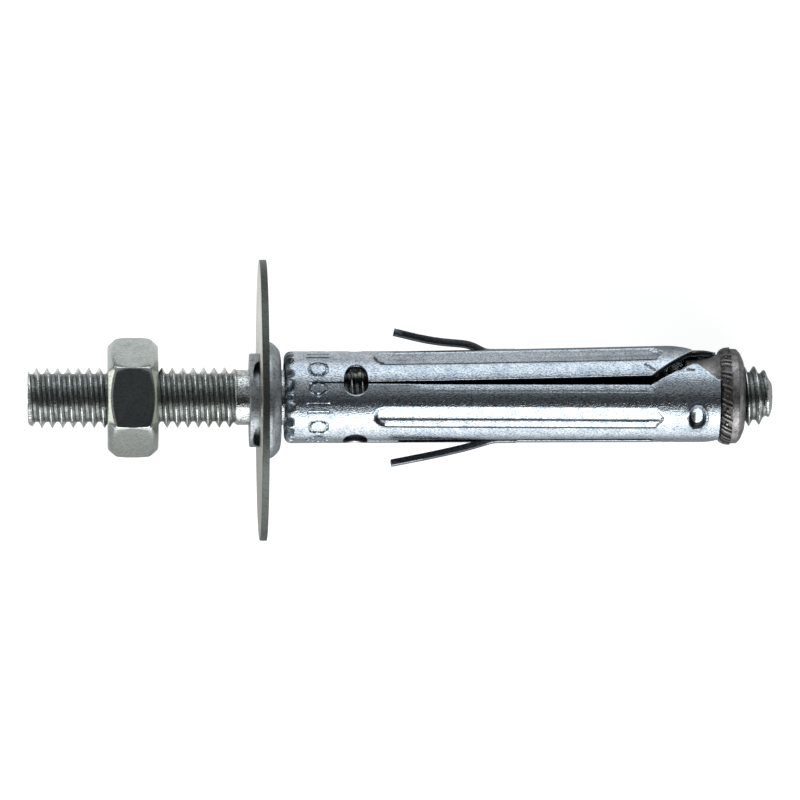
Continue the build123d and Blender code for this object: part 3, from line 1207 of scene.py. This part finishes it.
def make_floor():
    """A white floor that takes the object's shadow. To metal it glows past two slanted lines."""
    material, tree, shader = add_material("white_floor")
    coordinates = tree.nodes.new("ShaderNodeTexCoord").outputs["Object"]
    slant = {0: coordinates, 1: (-bright_floor_slope, 1.0, 0.0)}
    from_edge = add_node(tree, "VectorMath", slant, operation="DOT_PRODUCT").outputs["Value"]
    front = spread(tree, from_edge, *bright_floor_front)
    rear = spread(tree, from_edge, *bright_floor_rear)
    bright = add_node(tree, "Math", {0: front, 1: rear}, operation="ADD").outputs[0]
    feed(tree, shader, {
        "Base Color": (floor_grey, floor_grey, floor_grey, 1),
        "Roughness": 0.9,
        "Specular IOR Level": 0.0,
        "Emission Color": (1, 1, 1, 1),
        "Emission Strength": seen_rays(tree, floor_to_camera, bright),
    })
    corners = [(x * floor_half, y * floor_half, 0) for x, y in ((-1, -1), (1, -1), (1, 1), (-1, 1))]
    make_flat("floor", corners, material)


def make_world():
    """A white surround: full white to the camera alone, and a softer level for the rest."""
    world = bpy.data.worlds.new("surround")
    world.use_nodes = True
    tree = world.node_tree
    level = {0: seen_rays(tree, world_to_camera, 0.0), 1: world_level}
    level = add_node(tree, "Math", level, operation="ADD").outputs[0]
    feed(tree, tree.nodes["Background"], {"Color": (1, 1, 1, 1), "Strength": level})
    bpy.context.scene.world = world


def make_lamp(name, spot, target, size, radiance, colour):
    """A soft box lamp turned to the anchor, whose power gives the radiance wanted."""
    data = bpy.data.lights.new(name, "AREA")
    data.shape = "RECTANGLE"
    data.size, data.size_y = size
    data.energy = radiance * pi * size[0] * size[1]
    data.color = colour
    lamp = add_object(name, data)
    lamp.visible_camera = False
    turn = (target - spot).to_track_quat("-Z", "Y").to_matrix().to_4x4()
    lamp.matrix_world = Matrix.Translation(spot) @ turn


def make_card(name, corners, grey):
    """A dull dark card, which the camera doesn't see and the metal reflects."""
    material, tree, shader = add_material(name)
    colour = (grey, grey * 1.05, grey * 1.1, 1)
    feed(tree, shader, {"Base Color": colour, "Roughness": 1.0, "Specular IOR Level": 0.0})
    card = make_flat(name, corners, material)
    card.visible_camera = False
    return card


def make_cards(target, back):
    """Dark cards: one over the camera, a paler one past the cone end, a strip on the floor behind
    the anchor and a low one past the cone."""
    over = target + back * card_height
    front = -sideways * card_height * tan(radians(card_front_angle))
    rear = sideways * card_height * tan(radians(card_rear_angle))
    near = -along * card_height * card_near
    far = along * card_height * card_far
    top = (over + near + front, over + far + front, over + far + rear, over + near + rear)
    make_card("top_card", top, 0.075)
    foot = target + along * card_height * card_far
    foot[2] = end_card_foot
    make_card("end_card", (over + far + front, over + far + rear, foot + rear, foot + front), 0.1)
    strip = [target + along * reach + sideways * y for reach, y in floor_strip_corners]
    for corner in strip:
        corner[2] = floor_strip_height
    low, high = target + along * side_card_at + sideways * np.array(side_card_sides)[:, None]
    low[2] = high[2] = 0.0
    up = np.array((0.0, 0.0, side_card_height))
    side = (low, high, high + up, low + up)
    for card in (make_card("floor_strip", strip, 0.02), make_card("side_card", side, 0.03)):
        card.visible_shadow = False
        card.visible_diffuse = False


target, back = make_camera()

# The dark colours given here are those of the painted shade that the attribute marks
make_stud(metal("zinc_stud", (0.7, 0.73, 0.73), (0.47, 0.5, 0.48), (0.11, 0.22), 0.024, 0.13, 0.8,
                pits=0.35, dark=(0.07, 0.075, 0.07)))
make_nut(metal("zinc_nut", (0.5, 0.54, 0.52), (0.45, 0.49, 0.47), (0.14, 0.22), 0.007, 0.14, 1.2,
               pits=0.75))
make_washer(metal("zinc_washer", (0.56, 0.57, 0.53), (0.46, 0.46, 0.4), (0.2, 0.32), 0.014, 0.16,
                  1.5, pits=0.7, dark=(0.09, 0.1, 0.095)))
make_bush(metal("zinc_bush", (0.42, 0.45, 0.47), (0.3, 0.33, 0.35), (0.36, 0.48), 0.014, 0.15, 1.0))
make_sleeve(metal("zinc_sleeve", (0.56, 0.62, 0.67), (0.43, 0.5, 0.57), (0.18, 0.26), 0.03, 0.12,
                  1.1, pits=0.5, dark=(0.045, 0.05, 0.06)))
make_cone(metal("dull_cone", (0.34, 0.33, 0.33), (0.22, 0.21, 0.215), (0.3, 0.48), 0.02, 0.16, 0.7,
                stretch=1.0, dark=(0.05, 0.05, 0.05)))
make_floor()
make_world()
make_cards(target, back)
centre = Vector(target)
for name, offset, size, radiance, colour in lamps:
    make_lamp(name, centre + Vector(offset), centre, size, radiance, colour)
bpy.context.scene.view_settings.view_transform = "Standard"

new_low, new_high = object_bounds()
size = {"cad": [list(cad_low), list(cad_high)], "visual": [list(new_low), list(new_high)]}
